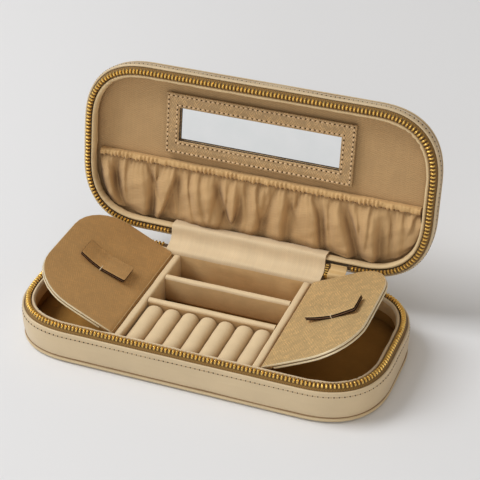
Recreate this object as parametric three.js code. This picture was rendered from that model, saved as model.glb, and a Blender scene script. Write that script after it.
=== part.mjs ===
// Travel jewellery case: a zip-around leather case with a hinged lid, two lift-up flaps,
// a ring roll section and a mirror and pocket in the lid.
// Millimetres, +Z up, +X to the right, the opening front faces -Y.
// The origin is the centre of the flat bottom. The case is drawn standing open.

import * as THREE from 'three';

// ---- driving dimensions ----

// the zip runs round the case on this outline; every other ring is an offset from it
const ZIP_HALF_X = 100;
const ZIP_HALF_Y = 46.06;
const CORNER_SIZE = 37.25;        // where the rounded corner starts, from the outline's corner
const CORNER_POWER = 2.53;        // 2 is a circular corner, more is squarer
const CORNER_STEPS = 8;

// heights of the base
const PARTING_Z = 22.4;           // where the two zip chains meet when the lid is shut
const WALL_TOP = 19.4;
const CHAIN_IN = -2.55;           // the zip teeth, from their inner to their outer side
const CHAIN_OUT = 0.65;
const TAPE_OFFSET = -0.95;
const CLOSED_HEIGHT = 34.8;

// lid hinge: a fold line along the back at the height of the zip
const HINGE_Y = 49.7;
const HINGE_Z = 23.1;
const LID_OPEN = 99.6;            // degrees the lid stands open

// inner layout
const PARTITION_X = [36.2, 40.4];
const PARTITION_TOP = 20;
const FLOOR_TOP = 4.2;
const REAR_DIVIDER_Y = 19.5;
const FRONT_DIVIDER_Y = -3.8;
const DIVIDER_THICK = 3.6;
const ROLLS = 7;
const ROLL_PITCH = 10.3;
const ROLL_RADIUS = 5.05;

// flaps over the side compartments
const FLAP_AXIS_X = 40.65;
const FLAP_AXIS_Z = 19;
const FLAP_REACH = 53.8;
const FLAP_HALF_Y = 40.2;
const FLAP_CORNER = 24.7;
const FLAP_TILT = 26.5;           // degrees the flaps stand up when the lid is open
const HINGE_STRIP = 7.8;          // width of the bare leather between partition and flap board
// each tab's seam, from the flap's hinge line, and how far its two wings reach from the seam
const TABS = {
  left: { seam: 26.6, outer: 13.6, inner: 14.2 },
  right: { seam: 30.2, outer: 14.6, inner: 14.8 },
};
const TAB_HALF_WIDTH = 6.5;
const TAB_CENTRE_Y = 1.5;
const TAB_LIFT = 6;               // degrees each tab wing stands off the flap

// zip ends at the back, beside the fabric hinge
const HINGE_HALF_X = 45.4;
const PULL_Y = 49.9;              // the line the zip pull swings about
const ZIP_START_X = 62.2;
const ZIP_END_X = -46.4;

// lid fittings, measured with the lid shut
const MIRROR_CENTRE_Y = -16.9;
const MIRROR_WINDOW = [46.4, 9.5];
const FRAME_WIDTH = 8.2;
const FRAME_FRONT = 28.4;
const MIRROR_FACE = 30.95;
const POCKET_TOP_Y = 5;

const RAD = Math.PI / 180;

// ---- finishes ----

const finish = (color, roughness, metalness) =>
  new THREE.MeshStandardMaterial({ color, roughness, metalness });

const champagne = finish(0xc9b394, 0.5, 0.15);
const champagneDark = finish(0xb59c76, 0.5, 0.15);
const grained = finish(0xae8a58, 0.5, 0.2);
const creamWelt = finish(0xd9c6a8, 0.85, 0);
const creamSuede = finish(0xdccaae, 0.9, 0);
const velvet = finish(0x8f683c, 1, 0);
const twill = finish(0xb08c60, 0.9, 0);
const hingeCloth = finish(0xcdb694, 0.9, 0);
const card = finish(0x9b8d78, 0.9, 0);
const zipCloth = finish(0xa07a48, 0.9, 0);
const brass = finish(0xc9a255, 0.3, 1);
const silvered = finish(0xdfe3e6, 0.05, 1);

// ---- building blocks ----

// one closed body from points and triangles, turned the right way out
function solid(points, faces) {
  let volume = 0;
  const a = new THREE.Vector3(), b = new THREE.Vector3(), c = new THREE.Vector3();
  for (const [i, j, k] of faces) {
    a.fromArray(points[i]); b.fromArray(points[j]); c.fromArray(points[k]);
    volume += a.dot(b.cross(c));
  }
  const position = [];
  for (const [i, j, k] of faces) {
    for (const n of volume < 0 ? [i, k, j] : [i, j, k]) position.push(...points[n]);
  }
  const geometry = new THREE.BufferGeometry();
  geometry.setAttribute('position', new THREE.Float32BufferAttribute(position, 3));
  geometry.computeVertexNormals();
  return geometry;
}

// a quarter of the zip outline by the direction it faces, so an offset is exact
function cornerPoint(angle, signX, signY) {
  const nx = Math.cos(angle * RAD), ny = Math.sin(angle * RAD);
  let x = 0, y = CORNER_SIZE;
  if (angle < 89.9) {
    const slope = Math.pow(Math.tan(angle * RAD), 1 / (CORNER_POWER - 1));
    x = CORNER_SIZE / Math.pow(1 + Math.pow(slope, CORNER_POWER), 1 / CORNER_POWER);
    y = slope * x;
  }
  return {
    x: signX * (ZIP_HALF_X - CORNER_SIZE + x), y: signY * (ZIP_HALF_Y - CORNER_SIZE + y),
    nx: signX * nx, ny: signY * ny,
  };
}

// the whole outline: back right, front right, front left, back left
function corners() {
  const path = [];
  const quarters = [[1, 1, true], [1, -1, false], [-1, -1, true], [-1, 1, false]];
  for (const [sx, sy, fromBack] of quarters) {
    for (let i = 0; i <= CORNER_STEPS; i++) {
      const share = (fromBack ? CORNER_STEPS - i : i) / CORNER_STEPS;
      path.push(cornerPoint(90 * share, sx, sy));
    }
  }
  return path;
}
const rim = corners();
const zipRun = [
  { x: ZIP_START_X, y: ZIP_HALF_Y, nx: 0, ny: 1 }, ...rim,
  { x: ZIP_END_X, y: ZIP_HALF_Y, nx: 0, ny: 1 },
];
const circle = (count) => Array.from({ length: count }, (_, i) => {
  const t = (2 * Math.PI * i) / count;
  return { x: 0, y: 0, nx: Math.cos(t), ny: Math.sin(t) };
});
const rectangle = (halfX, halfY, centreY) => [[1, 1], [1, -1], [-1, -1], [-1, 1]].map(
  ([sx, sy]) => ({ x: sx * halfX, y: centreY + sy * halfY, nx: sx, ny: sy }));

const place = (path, profile) => profile.flatMap(([offset, z]) =>
  path.map((p) => [p.x + offset * p.nx, p.y + offset * p.ny, z]));

function strips(rows, columns, closeRows, closeColumns) {
  const faces = [];
  for (let r = 0; r < (closeRows ? rows : rows - 1); r++) {
    for (let c = 0; c < (closeColumns ? columns : columns - 1); c++) {
      const r2 = (r + 1) % rows, c2 = (c + 1) % columns;
      const p = r * columns + c, q = r * columns + c2;
      const s = r2 * columns + c, t = r2 * columns + c2;
      faces.push([p, q, t], [p, t, s]);
    }
  }
  return faces;
}

// a profile of [offset, z] carried all the way round a path
function ring(path, profile) {
  return solid(place(path, profile), strips(profile.length, path.length, true, true));
}

// the same along an open run, closed at both ends
function band(path, profile) {
  const rows = profile.length, columns = path.length;
  const faces = strips(rows, columns, true, false);
  for (let r = 1; r < rows - 1; r++) {
    faces.push([0, r * columns, (r + 1) * columns]);
    faces.push([columns - 1, (r + 1) * columns + columns - 1, r * columns + columns - 1]);
  }
  return solid(place(path, profile), faces);
}

// a solid block inside a path, from the first [offset, z] section to the last
function slab(path, sections) {
  const columns = path.length, last = (sections.length - 1) * columns;
  const faces = strips(sections.length, columns, false, true);
  for (let c = 1; c < columns - 1; c++) {
    faces.push([0, c + 1, c], [last, last + c, last + c + 1]);
  }
  return solid(place(path, sections), faces);
}

const shapeOf = (points) => new THREE.Shape(points.map(([x, y]) => new THREE.Vector2(x, y)));
const extrude = (shape, depth) =>
  new THREE.ExtrudeGeometry(shape, { depth, bevelEnabled: false, curveSegments: 8 });
const axes = (x, y, z) => new THREE.Matrix4().makeBasis(
  new THREE.Vector3(...x), new THREE.Vector3(...y), new THREE.Vector3(...z));

// profiles given as [y, z] run along X, profiles given as [x, z] run along Y
function alongX(profile, x0, x1) {
  return extrude(shapeOf(profile), x1 - x0)
    .applyMatrix4(axes([0, 1, 0], [0, 0, 1], [1, 0, 0])).translate(x0, 0, 0);
}
function alongY(profile, y0, y1) {
  return extrude(shapeOf(profile), y1 - y0)
    .applyMatrix4(axes([1, 0, 0], [0, 0, 1], [0, -1, 0])).translate(0, y1, 0);
}
function box(x0, x1, y0, y1, z0, z1) {
  return new THREE.BoxGeometry(x1 - x0, y1 - y0, z1 - z0)
    .translate((x0 + x1) / 2, (y0 + y1) / 2, (z0 + z1) / 2);
}

// an even sheet either side of a line of points
function thicken(line, half) {
  const side = (sign) => line.map((p, i) => {
    const before = line[Math.max(i - 1, 0)], after = line[Math.min(i + 1, line.length - 1)];
    const d1 = new THREE.Vector2(p[0] - before[0], p[1] - before[1]).normalize();
    const d2 = new THREE.Vector2(after[0] - p[0], after[1] - p[1]).normalize();
    const n = d1.add(d2).normalize();
    return [p[0] - sign * half * n.y, p[1] + sign * half * n.x];
  });
  return [...side(1), ...side(-1).reverse()];
}

function add(group, name, geometry, material) {
  const mesh = new THREE.Mesh(geometry, material);
  mesh.name = name;
  group.add(mesh);
  return mesh;
}

// a group that turns about a line, holding pieces drawn in the case's own coordinates
function turned(parent, name, x, y, z, axis, degrees) {
  const pivot = new THREE.Group(), inner = new THREE.Group();
  pivot.name = name;
  pivot.position.set(x, y, z);
  pivot.rotation[axis] = degrees * RAD;
  inner.position.set(-x, -y, -z);
  pivot.add(inner);
  parent.add(pivot);
  return inner;
}

const caseGroup = new THREE.Group();
caseGroup.name = 'travel_jewellery_case';
const base = new THREE.Group();
base.name = 'base';
caseGroup.add(base);

// ---- base shell ----

const cord = (offset, z, radius) => circle(8).map((p) => [offset + radius * p.nx, z + radius * p.ny]);

add(base, 'base_bottom', slab(rim, [[-2, 0], [-0.5, 0.6], [-0.5, 1.3]]), champagne);
add(base, 'base_piping', ring(rim, cord(1, 1.9, 1.4)), champagneDark);
add(base, 'base_wall', ring(rim, [
  [1.25, 3.4], [1.9, 3.4], [2.55, 7], [2.74, 12], [2.3, WALL_TOP], [1.25, WALL_TOP]]), champagne);
add(base, 'base_bottom_board', slab(rim, [[-0.6, 1.4], [-0.6, 3.3]]), card);
add(base, 'base_wall_board', ring(rim, [[-0.3, 3.5], [1.1, 3.5], [1.1, 15.3], [-0.3, 15.3]]), card);
add(base, 'base_floor_lining', slab(rim, [[-0.6, 3.4], [-0.6, FLOOR_TOP]]), velvet);
add(base, 'base_wall_lining', ring(rim, [
  [-1.9, 4.3], [-0.5, 4.3], [-0.5, 12.4], [-1.9, 12.4]]), velvet);

// padded collar inside the zip, from its seam to its rounded edge
const collar = (seam, top) => {
  const below = (depth) => top + Math.sign(seam - top) * depth;
  return [
    [-4.6, seam], [-1.6, seam], [-1.6, below(3.8)], [-2.7, below(2.2)], [-2.85, below(0.7)],
    [-3.4, top], [-4.25, below(0.3)], [-4.8, below(1.4)], [-4.95, below(3.4)]];
};
add(base, 'base_collar', ring(rim, collar(12.5, 22)), creamWelt);

// ---- base half of the zip ----

const strip = (o0, o1, z0, z1) => [[o0, z0], [o1, z0], [o1, z1], [o0, z1]];
const tape = (z0, z1) => band(zipRun, strip(TAPE_OFFSET - 0.35, TAPE_OFFSET + 0.35, z0, z1));
const chain = (z0, z1) => band(zipRun, strip(CHAIN_IN, CHAIN_OUT, z0, z1));
add(base, 'base_zip_tape', tape(15.5, 20.5), zipCloth);
add(base, 'base_zip_chain', chain(20.6, PARTING_Z - 0.2), brass);
add(base, 'zip_slider', alongX([
  [45.4, 20], [48.1, 20], [48.4, 20.4], [48.4, 24], [48.1, 24.4], [45.4, 24.4],
  [45, 24], [45, 20.4]], 46.1, 50.9), brass);
add(base, 'slider_bridge', extrude(shapeOf([
  [46.8, 48.42], [47.5, 48.42], [47.5, 49.6], [49.5, 49.6], [49.5, 48.42], [50.2, 48.42],
  [50.2, 50.2], [46.8, 50.2]]), 0.6).translate(0, 0, 22.4), brass);
add(base, 'zip_end_tab', alongX([[48.95, 16], [49.5, 16], [49.5, 25.1], [48.95, 25.1]], 51.2, 62.4),
  champagne);

// pull: a metal link round the bridge with a leather strap below it
const pull = turned(base, 'zip_pull', 0, PULL_Y, 22.7, 'x', 0);
const linkShape = shapeOf([
  [PULL_Y - 1, 21.7], [PULL_Y + 0.5, 21.7], [PULL_Y + 0.5, 16], [PULL_Y + 1, 16],
  [PULL_Y + 1, 23.7], [PULL_Y - 1, 23.7]]);
linkShape.holes.push(new THREE.Path([[-0.5, 22.2], [0.5, 22.2], [0.5, 23.2], [-0.5, 23.2]]
  .map(([dy, z]) => new THREE.Vector2(PULL_Y + dy, z))));
add(pull, 'pull_link', extrude(linkShape, 1.2)
  .applyMatrix4(axes([0, 1, 0], [0, 0, 1], [1, 0, 0])).translate(47.9, 0, 0), brass);
add(pull, 'pull_strap', alongX([
  [PULL_Y + 1.05, 5.2], [PULL_Y + 1.6, 4.5], [PULL_Y + 2.1, 5.2], [PULL_Y + 2.1, 20],
  [PULL_Y + 1.05, 20]], 46.2, 50.8), champagneDark);

// ---- fabric hinge ----

add(base, 'hinge_gusset', alongX(thicken([
  [40.62, FLOOR_TOP + 0.4], [40.62, 20.6], [41.4, 22.25], [45, 22.7], [48, 24.2], [49.35, 27], [49.95, 31.2],
  [50.8, 32.35], [52.2, 32.45], [56.6, 31.65]], 0.25), -HINGE_HALF_X, HINGE_HALF_X), hingeCloth);
add(base, 'hinge_spine', alongX(thicken([
  [49.35, 14], [49.35, 20.5], [49.75, 21.9], [50.8, 22.9], [52.1, 23.15], [57, 22.32]], 0.4),
  -45, 45), champagne);

// ---- base compartments ----

const [partitionIn, partitionOut] = PARTITION_X;
const roundedTop = (a0, a1, z0, z1) => [
  [a0, z0], [a1, z0], [a1, z1 - 1.5], [a1 - 0.45, z1 - 0.5], [a1 - 1.4, z1],
  [a0 + 1.4, z1], [a0 + 0.45, z1 - 0.5], [a0, z1 - 1.5]];
for (const [name, sign] of [['left_partition', -1], ['right_partition', 1]]) {
  const [x0, x1] = sign > 0 ? [partitionIn, partitionOut] : [-partitionOut, -partitionIn];
  add(base, name, alongY(roundedTop(x0, x1, FLOOR_TOP + 0.05, PARTITION_TOP), -40.8, 40.1),
    creamSuede);
}
for (const [name, y] of [['rear_divider', REAR_DIVIDER_Y], ['front_divider', FRONT_DIVIDER_Y]]) {
  add(base, name, alongX(
    roundedTop(y - DIVIDER_THICK / 2, y + DIVIDER_THICK / 2, FLOOR_TOP + 0.05, PARTITION_TOP),
    -partitionIn + 0.1, partitionIn - 0.1), creamSuede);
}

// ring section: a pad and a row of soft rolls that grip rings between them
const rollFront = -40.6, rollBack = FRONT_DIVIDER_Y - DIVIDER_THICK / 2 - 0.4;
const rollZ = PARTITION_TOP - 1.1 - ROLL_RADIUS;
add(base, 'ring_pad', box(-35.9, 35.9, rollFront, rollBack, FLOOR_TOP + 0.05,
  rollZ - ROLL_RADIUS - 0.1), velvet);
const rollLength = rollBack - rollFront;
for (let i = 0; i < ROLLS; i++) {
  const geometry = slab(circle(14), [
    [ROLL_RADIUS - 2.2, 0], [ROLL_RADIUS - 0.5, 0.8], [ROLL_RADIUS, 2.6],
    [ROLL_RADIUS, rollLength - 3], [ROLL_RADIUS - 0.9, rollLength - 0.9],
    [ROLL_RADIUS - 2.8, rollLength]]);
  geometry.applyMatrix4(axes([1, 0, 0], [0, 0, -1], [0, 1, 0]))
    .translate((i - (ROLLS - 1) / 2) * ROLL_PITCH, rollFront, rollZ);
  add(base, 'ring_roll_' + (i + 1), geometry, creamSuede);
}

// ---- side flaps ----

// the flap's outline seen from above, from its hinge side out to two large round corners
function flapShape(side, inset) {
  const near = HINGE_STRIP + 0.3 + inset, far = FLAP_REACH - inset;
  const half = FLAP_HALF_Y - inset, r = FLAP_CORNER - inset;
  const shape = new THREE.Shape();
  shape.moveTo(near, -half);
  shape.lineTo(far - r, -half);
  shape.absarc(far - r, -half + r, r, -Math.PI / 2, 0, false);
  shape.lineTo(far, half - r);
  shape.absarc(far - r, half - r, r, 0, Math.PI / 2, false);
  shape.lineTo(near, half);
  if (side > 0) return shape;
  return new THREE.Shape(shape.getPoints(8).map((p) => new THREE.Vector2(-p.x, p.y)).reverse());
}

for (const [word, side] of [['left', -1], ['right', 1]]) {
  const axisX = side * FLAP_AXIS_X;
  const span = (u0, u1) => [axisX + side * u0, axisX + side * u1].sort((p, q) => p - q);
  const flap = turned(base, word + '_flap', axisX, 0, FLAP_AXIS_Z, 'y', -side * FLAP_TILT);
  add(flap, word + '_flap_spine', box(...span(0.35, HINGE_STRIP), -40, 40, 17.9, 20.1), grained);
  const sheet = (name, inset, z0, z1, material) => add(flap, word + name,
    extrude(flapShape(side, inset), z1 - z0).translate(axisX, 0, z0), material);
  sheet('_flap_underside', 0, 17.5, 18.1, grained);
  sheet('_flap_board', 0.7, 18.15, 19.35, card);
  sheet('_flap_top', 0, 19.4, 20.3, grained);

  // tab: a strip sewn to the flap across its middle, its two wings free to lift
  const y0 = TAB_CENTRE_Y - TAB_HALF_WIDTH, y1 = TAB_CENTRE_Y + TAB_HALF_WIDTH;
  const tab = TABS[word];
  add(flap, word + '_tab_seam', box(...span(tab.seam - 1, tab.seam + 1), y0, y1, 20.32, 21),
    grained);
  for (const [wing, out] of [['outer', 1], ['inner', -1]]) {
    const seamX = axisX + side * tab.seam;
    const hinge = turned(flap, word + '_tab_' + wing + '_hinge', seamX, 0, 20.5, 'y',
      -side * out * TAB_LIFT);
    const reach = [tab.seam + out * 2, tab.seam + out * tab[wing]];
    add(hinge, word + '_tab_' + wing, box(...span(...reach), y0, y1, 20.36, 21.66), grained);
  }
}

// ---- lid, drawn shut and turned about the fold line ----

const lid = turned(caseGroup, 'lid', 0, HINGE_Y, HINGE_Z, 'x', -LID_OPEN);
add(lid, 'lid_top', slab(rim, [
  [-0.6, 33.6], [-0.6, 34.2], [-3, CLOSED_HEIGHT]]), champagne);
add(lid, 'lid_piping', ring(rim, cord(0.9, 32.9, 1.4)), champagneDark);
add(lid, 'lid_wall', ring(rim, [
  [1.25, 25.2], [2.3, 25.2], [2.65, 28], [2.1, 31.4], [1.25, 31.4]]), champagne);
add(lid, 'lid_top_board', slab(rim, [[-0.65, 32.6], [-0.65, 33.5]]), card);
add(lid, 'lid_wall_board', ring(rim, [[-0.3, 28.4], [1.1, 28.4], [1.1, 31.3], [-0.3, 31.3]]), card);
add(lid, 'lid_ceiling_lining', slab(rim, [[-0.6, 31.7], [-0.6, 32.5]]), twill);
add(lid, 'lid_wall_lining', ring(rim, [
  [-1.9, 28.4], [-0.5, 28.4], [-0.5, 31.6], [-1.9, 31.6]]), twill);
add(lid, 'lid_collar', ring(rim, collar(28.3, 22.85)), creamWelt);
add(lid, 'lid_zip_tape', tape(24.3, 28.2), zipCloth);
add(lid, 'lid_zip_chain', chain(PARTING_Z + 0.2, 24.2), brass);

// mirror: a padded frame with a rebate that holds the mirror and its backing
const [windowX, windowY] = MIRROR_WINDOW;
const inFrame = rectangle(windowX, windowY, MIRROR_CENTRE_Y);
add(lid, 'mirror_frame', ring(inFrame, [
  [0, FRAME_FRONT + 0.3], [0.5, FRAME_FRONT], [FRAME_WIDTH - 0.5, FRAME_FRONT],
  [FRAME_WIDTH, FRAME_FRONT + 0.5], [FRAME_WIDTH, 31.6], [2.4, 31.6],
  [2.4, MIRROR_FACE - 0.05], [0, MIRROR_FACE - 0.05]]), grained);
add(lid, 'mirror_glass', slab(inFrame, [[2.1, MIRROR_FACE], [2.1, 31.3]]), silvered);
add(lid, 'mirror_backing', slab(inFrame, [[2.1, 31.35], [2.1, 31.6]]), card);

// gathered pocket across the hinge side of the lid, with an elastic edge
const hingeSide = rim.filter((p) => p.ny > 0.01);
const pocketPath = [
  ...hingeSide.filter((p) => p.x < 0), ...hingeSide.filter((p) => p.x > 0),
  { x: ZIP_HALF_X, y: POCKET_TOP_Y + 4.2, nx: 1, ny: 0 },
  { x: -ZIP_HALF_X, y: POCKET_TOP_Y + 4.2, nx: -1, ny: 0 },
];
add(lid, 'pocket_panel', slab(pocketPath, [[-8, 27.9], [-6.2, 28.6], [-6.2, 31.6]]), twill);
add(lid, 'pocket_band', alongX([
  [POCKET_TOP_Y, 28.6], [POCKET_TOP_Y + 0.6, 27.5], [POCKET_TOP_Y + 2, 27.1],
  [POCKET_TOP_Y + 3.4, 27.5], [POCKET_TOP_Y + 4, 28.6], [POCKET_TOP_Y + 4, 31.6],
  [POCKET_TOP_Y, 31.6]], -93.6, 93.6), twill);

export default caseGroup;
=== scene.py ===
"""Looks for the travel jewellery case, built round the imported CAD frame.

Everything is drawn in millimetres in the case's own frame (+X right, front towards -Y, +Z up) and
scaled once. The lid's pieces are drawn shut and then turned open about the fold line.
Texture coordinates are millimetres along each surface, so every weave and grain has its true size.
"""
import math

import bmesh
import bpy
import numpy as np
from mathutils import Matrix, Vector


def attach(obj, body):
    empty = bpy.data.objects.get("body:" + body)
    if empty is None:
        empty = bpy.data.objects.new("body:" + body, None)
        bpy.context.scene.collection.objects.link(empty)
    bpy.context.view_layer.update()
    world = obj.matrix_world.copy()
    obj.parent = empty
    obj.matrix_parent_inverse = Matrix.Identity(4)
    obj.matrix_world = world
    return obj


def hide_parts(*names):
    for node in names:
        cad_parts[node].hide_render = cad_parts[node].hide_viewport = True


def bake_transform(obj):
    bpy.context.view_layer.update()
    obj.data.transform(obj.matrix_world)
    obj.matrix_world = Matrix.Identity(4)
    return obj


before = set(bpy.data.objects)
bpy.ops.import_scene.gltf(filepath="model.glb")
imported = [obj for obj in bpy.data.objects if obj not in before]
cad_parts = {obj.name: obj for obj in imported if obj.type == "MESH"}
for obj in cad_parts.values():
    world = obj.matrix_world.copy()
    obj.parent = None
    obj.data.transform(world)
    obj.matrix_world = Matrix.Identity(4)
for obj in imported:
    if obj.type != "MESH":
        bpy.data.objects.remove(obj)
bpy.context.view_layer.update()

MM = 0.001

# ---- driving dimensions, as in the CAD part ----

ZIP_HALF_X, ZIP_HALF_Y = 100, 46.06
CORNER_SIZE, CORNER_POWER = 37.25, 2.53
PARTING_Z = 22.4
HINGE_Y, HINGE_Z, LID_OPEN = 49.7, 23.1, 99.6
ZIP_START_X, ZIP_END_X = 58.4, 46.4
TOOTH_PITCH, TOOTH_OFFSET = 2.1, -0.95
PULL_X, PULL_Y, PULL_Z = 48.5, 49.9, 22.7
GUSSET_HALF, SPINE_HALF = 45.4, 45
FLOOR_Z = 4.25
PARTITION_IN, PARTITION_OUT, PARTITION_TOP = 36.2, 40.4, 20.0
DIVIDERS, DIVIDER_HALF = {"rear": 19.5, "front": -3.8}, 1.8
ROLL_COUNT, ROLL_PITCH, ROLL_RADIUS, ROLL_FRONT, ROLL_Z = 7, 10.3, 5.05, -40.6, 13.85
FLAP_AXIS_X, FLAP_AXIS_Z, FLAP_TILT = 40.65, 19.0, 26.5
FLAP_REACH, FLAP_HALF_Y, FLAP_CORNER = 53.8, 40.2, 24.7
FLAP_CREASE = 7.95
TAB_Y, TAB_HALF, TAB_LIFT = 1.5, 6.5, 5.5
TABS = {"left": {"seam": 26.6, "outer": 13.6, "inner": 14.2},
        "right": {"seam": 30.2, "outer": 14.6, "inner": 14.8}}
MIRROR_Y, WINDOW_X, WINDOW_Y, FRAME_WIDTH = -16.9, 46.4, 9.5, 8.2
FRAME_FACE, GLASS_Z = 28.4, 30.95
POCKET_Y, BAND_Y, POCKET_HALF_X, LINING_Z = 8.6, 5.0, 93.5, 31.65


# ---- mesh parts ----

class Part:
    """Points, faces, one texture coordinate per face corner and one material index per face."""

    def __init__(self, points, faces, uvs, slots):
        self.points = np.asarray(points, float).reshape(-1, 3)
        self.faces, self.uvs, self.slots = faces, uvs, slots

    def moved(self, place):
        """The same part with every point sent through place(array of points)."""
        return Part(place(self.points), self.faces, self.uvs, self.slots)


def joined(parts):
    points, faces, uvs, slots, first = [], [], [], [], 0
    for part in parts:
        points.append(part.points)
        faces += [tuple(i + first for i in face) for face in part.faces]
        uvs += part.uvs
        slots += part.slots
        first += len(part.points)
    return Part(np.vstack(points), faces, uvs, slots)


def lattice(points, u, v, wrap_rows=False, wrap_columns=False, cap_ends=False, slots=None, cap_rows=False):
    """Faces over a grid of points [row, column], with u along the columns and v along the rows."""
    rows, columns = points.shape[:2]
    faces, uvs, index = [], [], []
    for r in range(rows if wrap_rows else rows - 1):
        for c in range(columns if wrap_columns else columns - 1):
            r2, c2 = (r + 1) % rows, (c + 1) % columns
            faces.append((r * columns + c, r * columns + c2, r2 * columns + c2, r2 * columns + c))
            uvs += [(u[c], v[r]), (u[c + 1], v[r]), (u[c + 1], v[r + 1]), (u[c], v[r + 1])]
            index.append(slots[r] if slots else 0)
    if cap_ends:
        flat = points.reshape(-1, 3)
        for c in (0, columns - 1):
            cap = [r * columns + c for r in range(rows)]
            faces.append(tuple(cap))
            uvs += [(flat[i, 0] + flat[i, 1], flat[i, 2]) for i in cap]
            index.append(slots[0] if slots else 0)
    if cap_rows:
        for r in (0, rows - 1):
            faces.append(tuple(r * columns + c for c in range(columns)))
            uvs += [(2 * math.cos(t), 2 * math.sin(t)) for t in circle(columns)]
            index.append(0)
    return Part(points, faces, uvs, index)


def circle(count):
    return np.arange(count) * 2 * np.pi / count


def blunt(wave, power):
    """A sine or cosine wave squared off (power below 1) with its sign kept."""
    return np.sign(wave) * np.abs(wave) ** power


def lengths(points, closed=False):
    """Distance along a line of points, with the way back to the start when it is closed."""
    points = np.asarray(points, float)
    if closed:
        points = np.vstack([points, points[:1]])
    steps = np.linalg.norm(np.diff(points, axis=0), axis=1)
    return np.concatenate([[0], np.cumsum(steps)])


def rounded(points, radius, steps=3, closed=True):
    """A polygon with its corners turned into short curves."""
    out, count = [], len(points)
    for i in range(count):
        p = np.array(points[i], float)
        if not closed and i in (0, count - 1):
            out.append(p)
            continue
        before = np.array(points[i - 1], float) - p
        after = np.array(points[(i + 1) % count], float) - p
        cut_in = min(radius / np.linalg.norm(before), 0.45)
        cut_out = min(radius / np.linalg.norm(after), 0.45)
        for k in range(steps + 1):
            t = k / steps
            out.append(p + before * cut_in * (1 - t) ** 2 + after * cut_out * t ** 2)
    return np.array(out)


def wander(seed, shortest, longest, count=7):
    """A smooth random function of two distances in millimetres, about -1 to 1."""
    rng = np.random.default_rng(seed)
    pitch = 2 * np.pi / rng.uniform(shortest, longest, count)
    heading, phase = rng.uniform(0, 2 * np.pi, count), rng.uniform(0, 2 * np.pi, count)

    def value(p, q=0.0):
        waves = [np.sin(k * (p * np.cos(h) + q * np.sin(h)) + f) for k, h, f in zip(pitch, heading, phase)]
        return sum(waves) / math.sqrt(count) * 0.8
    return value


def smooth(low, high, x):
    t = np.clip((np.asarray(x, float) - low) / (high - low), 0, 1)
    return t * t * (3 - 2 * t)


def opened(points):
    """From the lid's place when shut to its place standing open."""
    t = math.radians(-LID_OPEN)
    y, z = points[:, 1] - HINGE_Y, points[:, 2] - HINGE_Z
    turned = points.copy()
    turned[:, 1] = HINGE_Y + y * math.cos(t) - z * math.sin(t)
    turned[:, 2] = HINGE_Z + y * math.sin(t) + z * math.cos(t)
    return turned


# ---- paths seen from above ----

class Path:
    """A line with the direction it faces at each point; distances along it are in millimetres."""

    def __init__(self, points, facing):
        points = np.asarray(points, float)
        self.s = lengths(points)
        self.length = self.s[-1]
        self.x, self.y = points.T
        self.facing = np.unwrap(np.radians(facing))

    def at(self, s):
        s = np.mod(s, self.length) if np.any(np.asarray(s) > self.length + 1e-6) else s
        angle = np.interp(s, self.s, self.facing)
        return np.interp(s, self.s, self.x), np.interp(s, self.s, self.y), np.cos(angle), np.sin(angle)


def zip_outline():
    """Clockwise from the middle of the back: the corners are quarters of a squared circle."""
    quarter = []
    for angle in np.linspace(0, 90, 91):
        if angle > 89.9:
            quarter.append((0, CORNER_SIZE))
            continue
        slope = math.tan(math.radians(angle)) ** (1 / (CORNER_POWER - 1))
        x = CORNER_SIZE / (1 + slope ** CORNER_POWER) ** (1 / CORNER_POWER)
        quarter.append((x, slope * x))
    cx, cy = ZIP_HALF_X - CORNER_SIZE, ZIP_HALF_Y - CORNER_SIZE
    points, facing = [(0, ZIP_HALF_Y)], [90]
    for sx, sy, start in ((1, 1, 90), (1, -1, 0), (-1, -1, -90), (-1, 1, -180)):
        order = range(90, -1, -1) if sx == sy else range(91)
        for step, k in enumerate(order):
            points.append((sx * (cx + quarter[k][0]), sy * (cy + quarter[k][1])))
            facing.append(start - step)
    return Path(points + [(0, ZIP_HALF_Y)], facing + [-270])


rim = zip_outline()
zip_span = (ZIP_START_X, rim.length - ZIP_END_X)


def straight(start, end, facing):
    return Path([start, end], [facing, facing])


def sweep(path, profile, span=None, step=2.0, warp=None, slots=None):
    """A closed profile of [offset, z] carried along a path, all the way round unless a span is given."""
    profile = np.asarray(profile, float)
    if span is None:
        count = int(round(path.length / step))
        s = np.arange(count) * path.length / count
        u = np.append(s, path.length)
    else:
        s = u = np.linspace(span[0], span[1], max(2, int(round((span[1] - span[0]) / step)) + 1))
    x, y, nx, ny = path.at(s)
    v = lengths(profile, closed=True)
    offset = np.repeat(profile[:, :1], len(s), 1)
    z = np.repeat(profile[:, 1:], len(s), 1)
    if warp:
        offset, z = warp(offset, z, np.broadcast_to(s, offset.shape),
                         np.broadcast_to(v[:-1, None], z.shape))
    points = np.stack([x + offset * nx, y + offset * ny, z], -1)
    return lattice(points, u, v, True, span is None, span is not None, slots)


def slab(path, sections, crown):
    """A flat body inside a path, closed below and above; crown lifts the middle of the last section."""
    count = int(round(path.length / 2))
    x, y, nx, ny = path.at(np.arange(count) * path.length / count)
    spine = ZIP_HALF_X - ZIP_HALF_Y
    rows = []

    def fill(offset, z, lift, shares):
        ox, oy = x + offset * nx, y + offset * ny
        cx = np.clip(ox, -spine, spine)
        for t in shares:
            px, py = ox + (cx - ox) * t, oy * (1 - t)
            rows.append(np.stack([px, py, np.full(count, z + lift * (1 - (1 - t) ** 2))], -1))
    inner = np.linspace(0, 0.985, 10)
    fill(*sections[0], 0, inner[::-1])
    for offset, z in sections[1:-1]:
        fill(offset, z, 0, [0])
    fill(*sections[-1], crown, inner)
    part = lattice(np.stack(rows), np.zeros(count + 1), np.zeros(len(rows)), False, True, cap_rows=True)
    part.uvs = [tuple(part.points[i, :2]) for face in part.faces for i in face]
    return part


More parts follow.
